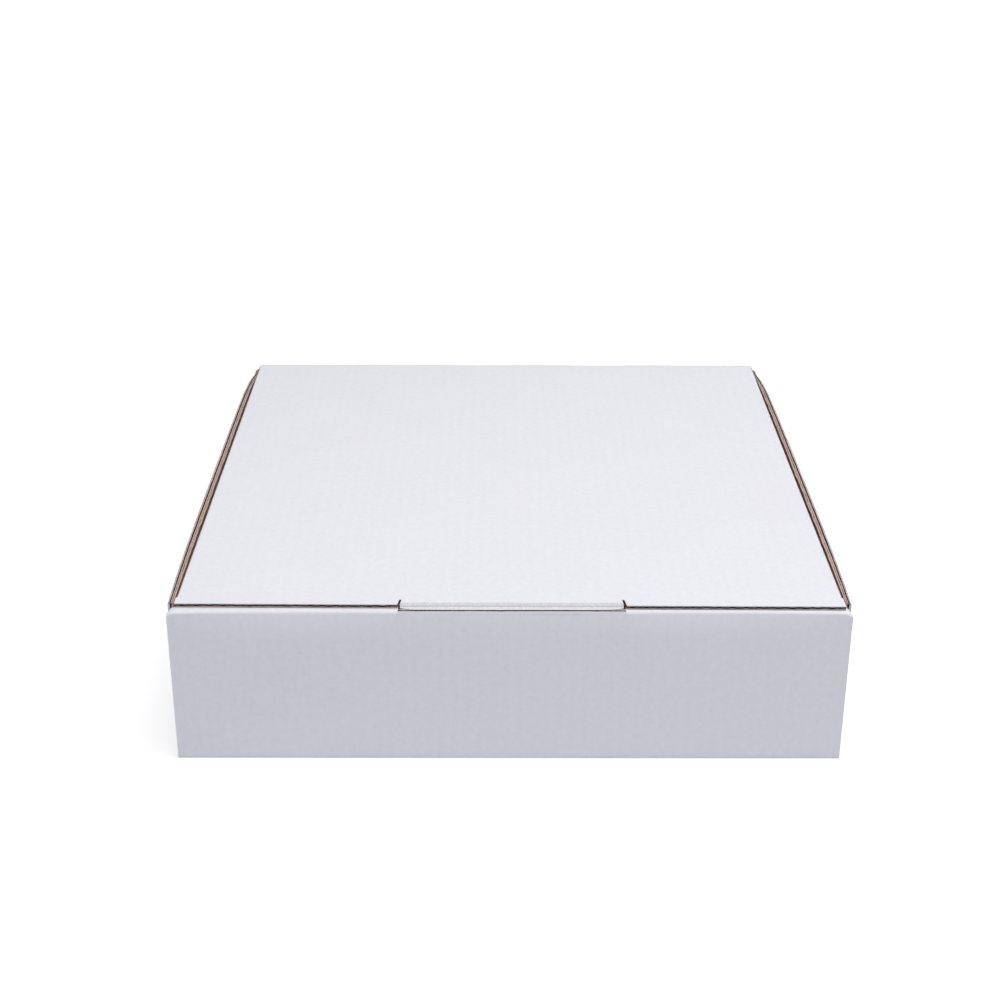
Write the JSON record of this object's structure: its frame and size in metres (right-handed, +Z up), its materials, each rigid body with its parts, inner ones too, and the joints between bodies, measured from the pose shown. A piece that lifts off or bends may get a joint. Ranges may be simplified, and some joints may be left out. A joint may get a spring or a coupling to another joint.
{
  "type": "mailer box",
  "caption": "Flat square mailer box of white-faced corrugated board, closed, with a hinged lid whose wings tuck in and whose front tab locks in a slot of the rolled front wall.",
  "frame": {"origin": "centre of the box's footprint, on the surface it stands on", "axes": "+Z up through the lid, the rolled front wall with the closing tab faces -Y, +X to the right seen from the front"},
  "size_m": [0.3386, 0.3462, 0.0866],
  "materials": {
    "tray_board": "matt white paper liner outside, brown liner inside, brown flutes at the cut edges",
    "lid_board": "matt white paper liner outside, brown liner inside, brown flutes at the cut edges"
  },
  "bodies": {
    "tray": {"tray": "tray_board"},
    "lid": {"lid": "lid_board"}
  },
  "joints": [
    {"name": "lid_hinge", "type": "hinge", "parent": "tray", "child": "lid", "pos_m": [0, 0.17172, 0.0852], "axis": [-1, 0, 0], "range_deg": [0, 180]}
  ]
}
